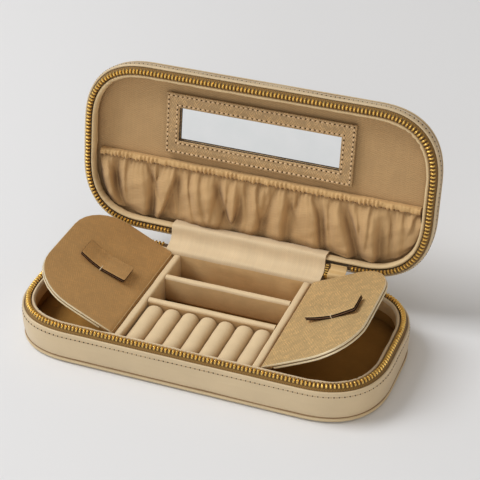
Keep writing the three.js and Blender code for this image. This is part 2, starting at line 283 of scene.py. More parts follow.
def plate(a0, a1, half, near, far, edge, rows, columns, lift=None, slots=None):
    """A sheet in (a, b, h): a from a0 to a1, b either side of 0, corner radii near and far.

    edge lists [inset, h] from the top face round to the bottom face.
    """
    slots = slots or [0] * len(edge)

    def grid(inset, h):
        r0, r1 = max(near - inset, 0.02), max(far - inset, 0.02)
        lo, hi, wide = a0 + inset, a1 - inset, half - inset
        turn = np.linspace(0, np.pi / 2, 9)
        a = np.concatenate([lo + r0 * (1 - np.cos(turn)), np.linspace(lo + r0, hi - r1, rows + 2)[1:-1],
                            hi - r1 * (1 - np.cos(turn[::-1]))])
        reach = np.concatenate([wide - r0 * (1 - np.sin(turn)), np.full(rows, wide),
                                wide - r1 * (1 - np.sin(turn[::-1]))])
        b = reach[:, None] * np.linspace(-1, 1, columns + 1)
        return np.stack([np.broadcast_to(a[:, None], b.shape), b, np.full(b.shape, h)], -1).reshape(-1, 3)

    order = np.arange((rows + 18) * (columns + 1)).reshape(rows + 18, columns + 1)
    walk = np.concatenate([order[0, :-1], order[:-1, -1], order[-1, :0:-1], order[:0:-1, 0]])
    cells = np.stack([order[:-1, :-1], order[1:, :-1], order[1:, 1:], order[:-1, 1:]], -1).reshape(-1, 4)
    points = grid(*edge[0])
    faces = cells.tolist()
    uvs = points[cells.ravel(), :2].tolist()
    index = [slots[0]] * len(cells)
    loop = walk
    along, depth = lengths(points[walk, :2], closed=True), lengths(edge)
    for k in range(1, len(edge)):
        ring, first = grid(*edge[k]), len(points)
        if k == len(edge) - 1:
            following = first + walk
            faces += (first + cells[:, ::-1]).tolist()
            uvs += ring[cells[:, ::-1].ravel(), :2].tolist()
            index += [slots[0]] * len(cells)
        else:
            ring = ring[walk]
            following = first + np.arange(len(walk))
        points = np.vstack([points, ring])
        for i, (here, there) in enumerate(zip(along, along[1:])):
            j = (i + 1) % len(walk)
            faces.append((loop[i], loop[j], following[j], following[i]))
            uvs += [(here, depth[k - 1]), (there, depth[k - 1]), (there, depth[k]), (here, depth[k])]
            index.append(slots[k])
        loop = following
    if lift:
        points[:, 2] += lift(*points.T)
    return Part(points, faces, uvs, index)


def tube(line, radius, sides=10):
    """A round bar along a line of points, with closed ends."""
    line = np.asarray(line, float)
    ahead = np.gradient(line, axis=0)
    ahead /= np.linalg.norm(ahead, axis=1)[:, None]
    side = np.cross(ahead, [0, 0, 1] if abs(ahead[:, 2]).max() < 0.9 else [1, 0, 0])
    side /= np.linalg.norm(side, axis=1)[:, None]
    up = np.cross(side, ahead)
    turn = circle(sides)[:, None, None]
    points = line + radius * (np.cos(turn) * side + np.sin(turn) * up)
    return lattice(points, lengths(line), np.linspace(0, 2 * np.pi * radius, sides + 1), True, False, True)


def seeds(places, along, facing, length, radius, slot=0, sunk=0.0):
    """A small spindle at each place, such as one stitch of thread or one needle hole."""
    turn = circle(6)[:, None, None]
    shares = np.array([-1, -0.8, -0.3, 0.3, 0.8, 1.0])
    size = np.array([[0.25], [0.75], [1], [1], [0.75], [0.25]])
    parts = []
    for p, t, n in zip(places, along, facing):
        line = p + t * (shares * length / 2)[:, None] - n * (radius * 0.9 * shares ** 4 + sunk)[:, None]
        ring = (np.cos(turn) * np.cross(t, n) + np.sin(turn) * n) * radius * size
        part = lattice(line + ring, shares * length / 2, np.append(circle(6), 2 * np.pi), True, False, True)
        part.slots = [slot] * len(part.faces)
        parts.append(part)
    return parts


def stitch_line(places, along, facing, length, radius, hole, deep=0.6):
    """Thread stitches (material 0) with a dark mark between each two (material 1): painted shade standing
    for the needle hole.
    """
    along, facing = (np.broadcast_to(k, places.shape) for k in (along, facing))
    pitch = np.linalg.norm(places[1] - places[0])
    parts = seeds(places, along, facing, length, radius)
    parts += seeds(places + along * pitch / 2, along, facing, hole * 2.6, hole, 1, hole * deep)
    return joined(parts)


def stitches_round(offset, z):
    """A row of stitches round the leather wall, stopping short of the hinge at the back."""
    s = np.arange(50, rim.length - 50, 2.5)
    x, y, nx, ny = rim.at(s)
    flat = np.zeros_like(x)
    return stitch_line(np.stack([x + offset * nx, y + offset * ny, flat + z], -1),
                       np.stack([ny, -nx, flat], -1), np.stack([nx, ny, flat], -1), 1.5, 0.26, 0.42, 0.4)


# ---- pieces ----

def piece(name, part, materials, tie, *nodes, sharp=40):
    """Makes the Blender object of a part, in place of the CAD nodes it stands for.

    tie is the body it rides on; two bodies and two points are not used, and the piece is left fixed where
    it is drawn.
    """
    if tie == "lid":
        part = part.moved(opened)
    mesh = bpy.data.meshes.new(name)
    mesh.from_pydata((part.points * MM).tolist(), [], part.faces)
    layer = mesh.uv_layers.new(name="UVMap")
    layer.data.foreach_set("uv", np.asarray(part.uvs, np.float32).ravel())
    for material in materials:
        mesh.materials.append(material)
    mesh.polygons.foreach_set("material_index", part.slots)
    work = bmesh.new()
    work.from_mesh(mesh)
    bmesh.ops.recalc_face_normals(work, faces=work.faces)
    work.to_mesh(mesh)
    work.free()
    mesh.polygons.foreach_set("use_smooth", [True] * len(mesh.polygons))
    mesh.set_sharp_from_angle(angle=math.radians(sharp))
    obj = bpy.data.objects.new(name, mesh)
    bpy.context.scene.collection.objects.link(obj)
    if nodes:
        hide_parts(*nodes)
    if isinstance(tie, str):
        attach(obj, tie)
    else:
        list(tie)
        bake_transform(obj)


def mm(*point):
    return tuple(c * MM for c in point)


# ---- materials ----

class Nodes:
    """A node tree. A socket given as an input is linked, anything else is its value."""

    def __init__(self, owner):
        owner.use_nodes = True
        self.tree = owner.node_tree

    def feed(self, socket, value):
        if isinstance(value, bpy.types.NodeSocket):
            self.tree.links.new(value, socket)
        else:
            socket.default_value = value

    def node(self, kind, inputs=None, output=0, **settings):
        node = self.tree.nodes.new("ShaderNode" + kind)
        for key, value in settings.items():
            setattr(node, key, value)
        for key, value in (inputs or {}).items():
            self.feed(node.inputs[key], value)
        return node.outputs[output]


class Shader(Nodes):
    """A material whose textures lie on the millimetres of its texture coordinates."""

    def __init__(self, name, code="ffffff"):
        self.code = code
        self.material = bpy.data.materials.new(name)
        super().__init__(self.material)
        self.bsdf = self.tree.nodes["Principled BSDF"]
        self.uv = self.node("UVMap")
        self.u = self.node("SeparateXYZ", {0: self.uv})
        self.v = self.u.node.outputs[1]

    def set(self, **inputs):
        for key, value in inputs.items():
            self.feed(self.bsdf.inputs[key.replace("_", " ")], value)

    def math(self, operation, a, b=0.0):
        return self.node("Math", {0: a, 1: b}, operation=operation)

    def noise(self, scale, detail, rough=0.5, coords=None, stretch=None):
        if stretch:
            coords = self.node("VectorMath", {0: self.uv, 1: (*stretch, 1)}, operation="MULTIPLY")
        return self.node("TexNoise", {"Vector": coords or self.uv, "Scale": scale, "Detail": detail,
                                      "Roughness": rough})

    def ramp(self, value, low, high, to_low=0.0, to_high=1.0):
        return self.node("MapRange", {0: value, 1: low, 2: high, 3: to_low, 4: to_high})

    def mix(self, factor, a, b):
        return self.node("Mix", {0: factor, 6: a, 7: b}, 2, data_type="RGBA")

    def shade(self, amount):
        return colour(self.code, amount)

    def tones(self, value, dark, light, low=0.3, high=0.7):
        """The material's colour, drifting between two shades of it."""
        return self.mix(self.ramp(value, low, high), self.shade(dark), self.shade(light))

    def over(self, base, value, low, high, start, end, shade):
        """Another shade laid over the base, in a share that runs from start to end as the value does."""
        return self.mix(self.ramp(value, low, high, start, end), base, self.shade(shade))

    def ribs(self, pitch, slant, wobble=0.0, sharpness=1.0):
        """Parallel ribs a given pitch apart, 0 to 1, slant in degrees from the u direction."""
        t = math.radians(slant)
        k = 2 * math.pi / pitch
        across = self.math("ADD", self.math("MULTIPLY", self.u, k * math.cos(t)),
                           self.math("MULTIPLY", self.v, k * math.sin(t)))
        if wobble:
            across = self.math("ADD", across, self.math("MULTIPLY", self.noise(0.5 / pitch, 3), wobble))
        wave = self.ramp(self.math("SINE", across), -1, 1)
        return self.math("POWER", wave, sharpness) if sharpness != 1 else wave

    def painted_hollow_shade(self, base, dark, reach, amount):
        """Painted shade: darkens the colour in hollows close to other surfaces, where shadow falls."""
        near = self.node("AmbientOcclusion", {"Distance": reach * MM}, 1, samples=4)
        return self.mix(self.ramp(near, 0.25, 0.9, amount, 0), base, dark)

    def bump(self, height, distance, strength, after=None):
        inputs = {"Height": height, "Distance": distance * MM, "Strength": strength}
        if after is not None:
            inputs["Normal"] = after
        return self.node("Bump", inputs)


def colour(code, shade=1.0):
    """Linear RGBA of a #rrggbb colour, made lighter or darker by shade."""
    channels = [int(code[i:i + 2], 16) / 255 for i in (0, 2, 4)]
    linear = [c / 12.92 if c <= 0.04045 else ((c + 0.055) / 1.055) ** 2.4 for c in channels]
    return (*[min(c * shade, 1) for c in linear], 1)


def smooth_leather(name, code):
    """Lightly grained leather with a faint pearly finish, paler along its convex edges."""
    s = Shader(name, code)
    grain = s.noise(2.4, 5, 0.62)
    creases = s.node("TexVoronoi", {"Vector": s.uv, "Scale": 1.15, "Randomness": 1.0},
                     feature="DISTANCE_TO_EDGE")
    base = s.tones(s.noise(0.035, 3), 0.94, 1.05)
    base = s.over(base, grain, 0.35, 0.7, 0, 0.25, 0.82)
    base = s.over(base, s.node("NewGeometry", output=7), 0.52, 0.6, 0, 0.35, 1.28)
    fine = s.bump(s.ramp(creases, 0, 0.22), 0.05, 0.35)
    s.set(Base_Color=base, Metallic=0.12, Roughness=s.ramp(grain, 0.3, 0.75, 0.42, 0.58),
          Sheen_Weight=0.12, Sheen_Roughness=0.5, Coat_Weight=0.06, Coat_Roughness=0.35,
          Normal=s.bump(grain, 0.06, 0.35, fine))
    return s.material


def saffiano(name, code, pitch, contrast):
    """Leather pressed with a cross-hatch whose ridges carry a rubbed metallic glaze and a painted
    highlight.
    """
    s = Shader(name, code)
    shifted = s.node("VectorMath", {0: s.uv, 1: (37, 11, 5)}, operation="ADD")
    one = s.math("MULTIPLY", s.ribs(pitch, 36, 4), s.ramp(s.noise(0.3, 3, 0.6), 0.3, 0.62))
    two = s.math("MULTIPLY", s.ribs(pitch * 1.1, 144, 4),
                 s.ramp(s.noise(0.34, 3, 0.6, shifted), 0.3, 0.62))
    pebbles = s.ramp(s.noise(1.5, 4, 0.7), 0.38, 0.7)
    hatch = s.math("MAXIMUM", s.math("MAXIMUM", one, two), s.math("MULTIPLY", pebbles, 0.6))
    base = s.tones(s.noise(0.04, 4, 0.6), 0.86, 1.1)
    base = s.over(base, hatch, 0.1, 0.85, 0.72 * contrast, 0, 0.52)
    base = s.over(base, s.noise(3.0, 2, 0.7), 0.5, 0.72, 0, 0.45, 0.6)
    # painted highlight: the ridges are coloured paler, the more so the larger the contrast
    base = s.over(base, hatch, 0.6, 1, 0, 0.5 * contrast, 1.5)
    s.set(Base_Color=base, Metallic=s.ramp(hatch, 0.4, 1, 0.1, 0.35),
          Roughness=s.ramp(hatch, 0, 1, 0.62, 0.44), Sheen_Weight=0.05, Normal=s.bump(hatch, 0.13, 0.7))
    return s.material


def suede(name, code, nap, depth, hollow="8a5f33", shade=0.6):
    """Brushed nap: faintly mottled where the fibres lie different ways, soft-edged in the light."""
    s = Shader(name, code)
    fibres = s.noise(2.2, 4, 0.75)
    patches = s.noise(0.12, 4, 0.6)
    strokes = s.noise(1.0, 3, 0.6, stretch=(0.2, 0.8))
    base = s.tones(patches, 1 - 0.07 * depth, 1.04)
    base = s.over(base, strokes, 0.35, 0.65, 0, 0.22 * depth, 0.84)
    base = s.over(base, fibres, 0.42, 0.7, 0, 0.5, 0.78)
    # painted shade in the hollows, in the hollow colour
    base = s.painted_hollow_shade(base, colour(hollow), 9, shade)
    s.set(Base_Color=base, Roughness=0.94, Sheen_Weight=nap, Sheen_Roughness=0.4,
          Sheen_Tint=s.shade(1.5), Specular_IOR_Level=0.2, Normal=s.bump(fibres, 0.11 * depth, 0.5))
    return s.material


def twill(name, code, pitch=1.0, slant=58, contrast=0.5, sheen=0.12, hollow="6d4a25", shade=0.5,
          reach=6):
    """Woven cloth with slanting ribs of thread and the odd thicker yarn."""
    s = Shader(name, code)
    ribs = s.ribs(pitch, slant, 0.5, 0.8)
    picks = s.ribs(pitch * 0.55, slant + 90, 0.4)
    slubs = s.noise(0.5, 3, 0.6, stretch=(2.4, 0.12))
    base = s.tones(s.noise(0.06, 3), 0.94, 1.05)
    base = s.over(base, ribs, 0, 0.8, contrast, 0, 0.66)
    base = s.over(base, slubs, 0.45, 0.75, 0, 0.3, 1.22)
    # painted shade in the hollows and fold valleys, in the hollow colour
    base = s.painted_hollow_shade(base, colour(hollow), reach, shade)
    height = s.math("ADD", ribs, s.math("MULTIPLY", picks, 0.35))
    s.set(Base_Color=base, Roughness=0.88, Sheen_Weight=sheen, Specular_IOR_Level=0.3,
          Normal=s.bump(height, 0.12, 0.6))
    return s.material


def zip_weave(name, code):
    """Herringbone zip tape."""
    s = Shader(name, code)
    there = s.ribs(0.9, 45)
    back = s.ribs(0.9, 135)
    side = s.ramp(s.math("SINE", s.math("MULTIPLY", s.v, 2 * math.pi / 2.4)), -0.15, 0.15)
    height = s.node("Mix", {0: side, 2: there, 3: back}, 0, data_type="FLOAT")
    base = s.tones(height, 0.6, 1.1, 0.1, 0.9)
    base = s.over(base, s.noise(1.6, 3), 0.4, 0.75, 0, 0.3, 0.75)
    s.set(Base_Color=base, Roughness=0.8, Sheen_Weight=0.2, Normal=s.bump(height, 0.12, 0.7))
    return s.material


def metal(name, code, dark):
    """Antique plated brass: bright where it is rubbed, brown in its hollows."""
    s = Shader(name, code)
    hollow = s.ramp(s.node("AmbientOcclusion", {"Distance": 0.7 * MM}, 1), 0.15, 0.6)
    tarnish = s.noise(1.3, 4, 0.6)
    base = s.mix(hollow, colour(dark), s.tones(tarnish, 1, 0.78, 0.35, 0.75))
    s.set(Base_Color=base, Metallic=0.9, Roughness=s.ramp(tarnish, 0.3, 0.8, 0.26, 0.41),
          Normal=s.bump(s.noise(4.0, 3), 0.02, 0.4))
    return s.material


def painted_edge(name, code, metallic, rough, shine=0.5):
    """A cut leather edge, painted and burnished along its length."""
    s = Shader(name, code)
    streaks = s.noise(1.0, 4, 0.6, stretch=(0.5, 4.0))
    s.set(Base_Color=s.tones(streaks, 0.78, 1.15), Metallic=metallic,
          Roughness=s.ramp(streaks, 0.3, 0.7, rough - 0.08, rough + 0.1),
          Specular_IOR_Level=shine, Normal=s.bump(streaks, 0.04, 0.5))
    return s.material


def thread(name, code):
    s = Shader(name, code)
    ply = s.ribs(0.35, 35)
    s.set(Base_Color=s.mix(ply, s.shade(0.7), s.shade(1.1)), Roughness=0.6, Sheen_Weight=0.2,
          Normal=s.bump(ply, 0.05, 0.6))
    return s.material


def looking_glass(name):
    s = Shader(name)
    haze = s.ramp(s.noise(0.08, 3), 0.3, 0.7)
    s.set(Base_Color=s.mix(haze, (0.8, 0.82, 0.82, 1), (0.84, 0.85, 0.85, 1)),
          Metallic=1.0, Roughness=0.03, Normal=s.bump(s.noise(0.05, 1), 0.3, 0.04))
    return s.material


champagne = smooth_leather("champagne_leather", "d3bd98")
champagne_edge = smooth_leather("champagne_edge", "cfb991")
# the zip-end patch: a warmer, golden copy of the champagne leather, painting in the warm light it shows
patch_leather_painted_light = smooth_leather("patch_leather_painted_light", "d9b67c")
grained = saffiano("saffiano", "c3985f", 1.0, 0.5)
# the same leather for the right flap, paler and with a stronger ridge highlight: painted light, as that
# flap faces the lamp
grained_painted_light = saffiano("saffiano_painted_light", "d0ae76", 1.2, 1.0)
frame_leather = saffiano("frame_saffiano", "c5a272", 1.1, 1.1)
# shade, hollow and reach set how much painted shade each cloth gets in its hollows
welt = suede("cream_welt", "e3cfad", 0.2, 0.5, shade=0.7)
# the lid's collar: a darker, warmer copy of the cream welt, painted shade as the collar stands in shadow
lid_welt_painted_shade = suede("lid_welt_painted_shade", "dcc398", 0.15, 0.5, shade=0.4)
cream = suede("cream_suede", "e7cfa8", 0.25, 0.7, shade=0.5)
# a darker, warmer copy of the cream suede: painted shade for faces down in the compartments
face_suede_painted_shade = suede("face_suede_painted_shade", "d8b582", 0.2, 1.7, shade=0.5)
# a warmer stand-in for the hinge cloth where it hangs down in shade: painted shade
rear_cloth_painted_shade = suede("rear_cloth_painted_shade", "e6c18a", 0.25, 1.8, shade=0.5)
velvet = suede("brown_velvet", "ad8040", 0.4, 2.6, "4e3418")
lining = twill("lining_twill", "c09d6f", shade=0.25)
pocket_cloth = twill("pocket_cloth", "c8a474", 0.8, 62, 0.3, 0.1, "5f3f1e", 0.9, 5.5)
band_cloth = twill("band_cloth", "d2ac76", 0.8, 62, 0.2, 0.1, shade=0.5, reach=2)
hinge_cloth = twill("hinge_cloth", "e2cba6", 0.8, 55, 0.25, shade=0.2)
tape_cloth = zip_weave("zip_cloth", "8c682c")
# the bead along the tape's edge, woven like the tape but coloured darker: painted shade between the teeth
tape_core_painted_shade = zip_weave("zip_core_painted_shade", "5f4215")
brass = metal("antique_brass", "f3c96f", "7d5619")
card = painted_edge("card_board", "9b8d78", 0.0, 0.85)
gilt = painted_edge("gilt_edge", "ead9b4", 0.5, 0.34)
dark_edge = painted_edge("dark_edge", "1c0d06", 0.0, 0.6, 0.1)
core_edge = painted_edge("core_edge", "7d5f3c", 0.0, 0.7)
frame_edge_and_shade = painted_edge("frame_edge_and_shade", "3d2712", 0.0, 0.55)
glue_line = painted_edge("glue_line", "8d6c52", 0.0, 0.6, 0.2)
seam_thread = thread("seam_thread", "96744c")
thread_tan = thread("thread_tan", "c2a377")
thread_light = thread("thread_light", "e6d2ae")
frame_thread = thread("frame_thread", "ecc99a")
needle_hole_shade = painted_edge("needle_hole_shade", "33200f", 0.0, 0.9, 0.1)
tuck_shadow = painted_edge("tuck_shadow", "7b5733", 0.0, 0.9, 0.1)
glass = looking_glass("mirror")
# the right flap takes the copy with light painted in
FLAP_LEATHER = {"left": grained, "right": grained_painted_light}

# the record's material slot that each finish stands for
SLOTS = {material.name: slot for slot, materials in {
    "champagne_leather": [champagne, patch_leather_painted_light],
    "edge_leather": [champagne_edge],
    "grained_leather": [grained, grained_painted_light, frame_leather],
    "card_board": [core_edge],
    "velvet": [velvet],
    "cream_welt": [welt, lid_welt_painted_shade],
    "cream_suede": [cream],
    "twill": [lining, pocket_cloth, band_cloth],
    "hinge_cloth": [hinge_cloth],
    "zip_cloth": [tape_cloth],
    "brass": [brass],
    "mirror": [glass],
}.items() for material in materials}


# ---- shells of the base and the lid ----

soft_wall = wander(3, 18, 70)


def leather_wall(offset, z, s, v):
    """Skived leather over board is never quite even."""
    return offset + 0.1 * soft_wall(s, z * 2) * (offset > 1.5), z


def padded(seed):
    """A padded ring that puffs between its seams and puckers where it turns the corners."""
    puff, tuck = wander(seed, 9, 26), wander(seed + 1, 2.6, 5)

    def warp(offset, z, s, v):
        facing = np.interp(s, rim.s, np.degrees(rim.facing))
        turning = np.sin(np.radians(2 * facing)) ** 2
        inward = smooth(-2.9, -4, offset)
        swell = 0.14 * puff(s, v * 0.5) + 0.3 * turning * np.minimum(tuck(s, v * 0.2), 0.2)
        return offset - inward * swell, z + 0.5 * inward * swell * np.sign(PARTING_Z - z)
    return warp


def cord(offset, z, radius, steps=14):
    return np.array([offset, z]) + radius * np.stack([np.cos(circle(steps)), np.sin(circle(steps))], -1)


def collar_profile(seam, top):
    def below(depth):
        return top + math.copysign(depth, seam - top)
    return rounded([
        [-4.6, seam], [-1.7, seam], [-1.7, below(3.8)], [-2.62, below(2.3)], [-2.75, below(0.8)],
        [-3.5, top], [-4.3, below(0.35)], [-4.8, below(1.6)], [-4.95, below(3.4)]], 0.9, 3)


def tape_line(side):
    """Zip tape: sewn inside the leather wall, it leans in to the teeth; side is -1 below, 1 above."""
    line = [[0.9, 6.9], [0.9, 3.6], [0.75, 3.1], [0.1, 2.3], [TOOTH_OFFSET, 1.6]]
    return sheet_profile([[offset, PARTING_Z + side * rise] for offset, rise in line], 0.3, 0.6)


def shell_pieces():
    for name, sections, crown, cloth, node in (
            ("base_bottom_leather", [[-2, 0], [-1.1, 0.15], [-0.5, 0.6], [-0.5, 1.3]], 0, champagne,
             "base_bottom"),
            ("base_floor_velvet", [[-0.6, 3.4], [-0.6, 4.2]], 0, velvet, "base_floor_lining"),
            ("lid_ceiling_twill", [[-0.6, 31.7], [-0.6, 32.5]], 0, lining, "lid_ceiling_lining"),
            ("lid_top_leather", [[-0.6, 33.6], [-0.5, 33.9], [-0.9, 34.35], [-2.2, 34.68], [-3.4, 34.72]],
             0.08, champagne, "lid_top")):
        piece(name, slab(rim, sections, crown), [cloth], name.split("_")[0], node)

    for word, wall, piping, seam_z, stitches, cloth, kind, low, high in (
            ("base", [[1.25, 3.5], [1.9, 3.4], [2.5, 7], [2.72, 12], [2.45, 18.2], [2.3, 19.4],
                      [1.3, 19.4]], (1, 1.9), 3.28, (2.53, 16.7), velvet, "velvet", 4.3, 12.4),
            ("lid", [[1.25, 25.2], [2.25, 25.2], [2.42, 26.2], [2.65, 28.2], [2.1, 31.4], [1.25, 31.4]],
             (0.9, 32.9), 31.5, (2.58, 27.4), lining, "twill", 28.4, 31.6)):
        piece(word + "_piping_cord", sweep(rim, cord(*piping, 1.4)), [champagne_edge], word,
              word + "_piping")
        # a brown cord at the seam above the piping: the seam's line, and painted shade for the groove it
        # lies in
        piece(word + "_piping_seam_shade", sweep(rim, cord(2.0, seam_z, 0.28, 8)), [seam_thread], word)
        piece(word + "_wall_leather", sweep(rim, rounded(wall, 0.5, 4), warp=leather_wall), [champagne],
              word, word + "_wall")
        piece(word + "_wall_stitches", stitches_round(*stitches), [thread_tan, needle_hole_shade], word)
        strip = rounded([[-1.9, low], [-0.5, low], [-0.5, high], [-1.9, high]], 0.4)
        piece("%s_wall_%s" % (word, kind), sweep(rim, strip), [cloth], word, word + "_wall_lining")

    profile = collar_profile(12.5, 22)
    # the collar's inner face takes the painted shade copy
    shaded_inner_face = [int(z < 20.3 and offset < -4) for offset, z in profile]
    piece("base_collar_welt", sweep(rim, profile, None, 1.2, padded(11), shaded_inner_face), [welt, face_suede_painted_shade],
          "base", "base_collar")
    piece("lid_collar_welt", sweep(rim, collar_profile(28.3, 22.85), None, 1.2, padded(23)), [lid_welt_painted_shade],
          "lid", "lid_collar")


# ---- zip ----

def tooth(flip):
    """One metal tooth: jaws clamped on the tape's bead and a narrower rounded head."""
    sections = [(20.55, 0.5, 1.15), (20.7, 0.7, 1.38), (21.6, 0.72, 1.44), (21.9, 0.62, 1.3),
                (22.15, 0.52, 1.12), (22.62, 0.49, 1.0), (22.86, 0.26, 0.55)]
    turn = circle(8) + np.pi / 8
    x, y = blunt(np.cos(turn), 0.55), blunt(np.sin(turn), 0.55)
    rows = [np.stack([x * along, y * out, x * 0 + (2 * PARTING_Z - z if flip else z)], -1)
            for z, along, out in sections]
    return lattice(np.array(rows), np.linspace(0, 5, 9), np.linspace(0, 2.2, len(sections)), False, True,
                   cap_rows=True)


def teeth(flip):
    """The tooth repeated along the zip; the two halves sit half a pitch apart."""
    one = tooth(flip)
    rng = np.random.default_rng(5 + flip)
    s = np.arange(zip_span[0] + 1 + flip * TOOTH_PITCH / 2, zip_span[1] - 1, TOOTH_PITCH)
    parts = []
    for at, jitter in zip(s, rng.normal(0, 1, (len(s), 2))):
        x, y, nx, ny = rim.at(at)
        t, o, z = one.points.T
        lean = t + 0.03 * jitter[0] * (z - PARTING_Z)
        o = o + TOOTH_OFFSET + 0.03 * jitter[1]
        parts.append(Part(np.stack([x + o * nx + lean * ny, y + o * ny - lean * nx, z], -1),
                          one.faces, [(a + at, b) for a, b in one.uvs], one.slots))
    return joined(parts)


def zip_pieces():
    bead = rounded([[-2.2, 20.6], [0.28, 20.6], [0.28, 21.55], [-0.4, 21.9], [-1.5, 21.9], [-2.2, 21.55]],
                   0.3, 2)
    for word, side, core in (("base", -1, bead), ("lid", 1, bead * [1, -1] + [0, 2 * PARTING_Z])):
        piece(word + "_tape_weave", sweep(rim, tape_line(side), zip_span), [tape_cloth], word,
              word + "_zip_tape")
        piece(word + "_tape_core_painted_shade", sweep(rim, core, zip_span, 2.5), [tape_core_painted_shade], word)
        piece(word + "_zip_teeth", teeth(int(side > 0)), [brass], word, word + "_zip_chain")


def slider_pieces():
    """The slider is two flanged plates joined by a web, rounded towards both ends, with an arch on it."""
    web = rounded([[45, 20.2], [45.3, 20], [46, 20.2], [46.1, 22], [47.2, 22], [47.3, 20.2], [48, 20],
                   [48.4, 20.4], [48.4, 24], [48, 24.4], [47.3, 24.2], [47.2, 22.5], [46.1, 22.5],
                   [46, 24.2], [45.3, 24.4], [45, 24.2]], 0.25, 2)

    def waist(offset, z, s, v):
        share = (s - PULL_X) / 2.4
        narrow = 1 - 0.3 * np.abs(share) ** 4 - 0.08 * np.cos(share * np.pi)
        return 46.7 + (offset - 46.7) * (1 - 0.2 * np.abs(share) ** 6), 22.2 + (z - 22.2) * narrow
    across = straight((0, 0), (100, 0), 90)
    piece("slider_body", sweep(across, web, (PULL_X - 2.4, PULL_X + 2.4), 0.3, waist), [brass], "base",
          "zip_slider")
    arch = rounded([(-1.35, 48.3), (-1.35, 49.3), (-1.05, 49.8), (-0.5, 49.9), (0.5, 49.9), (1.05, 49.8),
                    (1.35, 49.3), (1.35, 48.3)], 0.3, 3, closed=False)
    piece("slider_arch", tube([(PULL_X + x, y, PULL_Z) for x, y in arch], 0.3), [brass], "base",
          "slider_bridge")


def pull_pieces():
    """The pull is an eye round the slider's arch with a flat tongue, and a strap riveted to it."""
    def hung(p):
        return np.stack([PULL_X + p[:, 1], p[:, 2], p[:, 0]], -1)
    turn = circle(20)
    rows = [[(PULL_X + x, PULL_Y + r * math.cos(t), PULL_Z + r * math.sin(t)) for t in turn]
            for x, r in ((-0.6, 0.55), (-0.6, 0.85), (-0.45, 1.0), (0.45, 1.0), (0.6, 0.85), (0.6, 0.55),
                         (0.4, 0.48), (-0.4, 0.48))]
    eye = lattice(np.array(rows), np.linspace(0, 6, 21), np.linspace(0, 4, 9), True, True)
    tongue = plate(15.8, 22.4, 0.6, 0.55, 0.5, [[0.12, 50.9], [0, 50.8], [0, 50.5], [0.12, 50.4]], 8, 4)
    piece("pull_eye", joined([eye, tongue.moved(hung)]), [brass], "zip_pull", "pull_link")
    strap = plate(4.5, 20, 2.3, 2.0, 0.6, [[0.2, 52], [0, 51.85], [0, 51.1], [0.2, 50.95]], 12, 8,
                  slots=[0, 1, 1, 1, 0])
    piece("pull_leather", strap.moved(hung), [champagne_edge, dark_edge], "zip_pull", "pull_strap")
    dome = [[(PULL_X + r * math.cos(t), y, 17.9 + r * math.sin(t)) for t in turn]
            for r, y in ((0.9, 51.9), (0.95, 52.05), (0.75, 52.3), (0.4, 52.42), (0.05, 52.45))]
    piece("pull_rivet", lattice(np.array(dome), np.linspace(0, 6, 21), np.linspace(0, 2, 5), False, True),
          [brass], "zip_pull")
    z = np.arange(6.5, 15.8, 1.8)
    row = np.stack([z * 0 + PULL_X, z * 0 + 52.0, z], -1)
    piece("pull_stitches", joined([
        stitch_line(row + [side * 1.5, 0, 0], [0, 0, 1], [0, 1, 0], 1.2, 0.16, 0.18)
        for side in (-1, 1)]), [thread_light, needle_hole_shade], "zip_pull")


def zip_end_pieces():
    """Beside the cloth hinge a leather patch is folded over the parked slider and the zip's end."""
    fold = ("base", "lid", mm(0, 46, 24), mm(0, 50, 27.5))
    for name, line, half, start, end, cloth, nodes in (
            ("zip_end_patch", [[44.9, 21.4], [44.7, 23.4], [45.5, 25], [48.7, 25.5], [49.9, 27.2],
                               [50.2, 28.4]], 0.28, 48.2, 57.7, patch_leather_painted_light, ["zip_end_tab"]),
            # the tape running up into the slider, dark: partly the real tape, partly painted shade filling
            # the gap beside the slider
            ("zip_end_tape", [[46.9, 22.4], [47.8, 24.6], [49.2, 26.6], [50, 28.4]], 0.2, 45.5, 48.6,
             tape_core_painted_shade, [])):
        part = sweep(straight((start, 0), (end, 0), 90), sheet_profile(line, half, 1.2),
                     (0, end - start), 0.8)
        piece(name, part, [cloth], fold, *nodes)
    stops = [tube([(46, y, z), (46.6, y - 0.1, z), (47.6, y, z)], 0.4, 8)
             for y, z in ((47.2, 24.3), (47.9, 25.4), (48.7, 26.5), (49.3, 27.6))]
    piece("zip_end_stops", joined(stops), [brass], fold)


# ---- cloth hinge ----

def along_x(profile, half, step=2.0, warp=None, slots=None):
    """A profile of [y, z] carried across the case."""
    return sweep(straight((-half, 0), (half, 0), 90), profile, (0, 2 * half), step, warp, slots)


def sheet_profile(line, half, radius=1.6):
    """Both faces of an even sheet that follows a line of [y, z]."""
    line = rounded(line, radius, 5, closed=False)
    run = np.gradient(line, axis=0)
    run /= np.linalg.norm(run, axis=1)[:, None]
    normal = np.stack([-run[:, 1], run[:, 0]], -1)
    return np.vstack([line + normal * half, (line - normal * half)[::-1]])


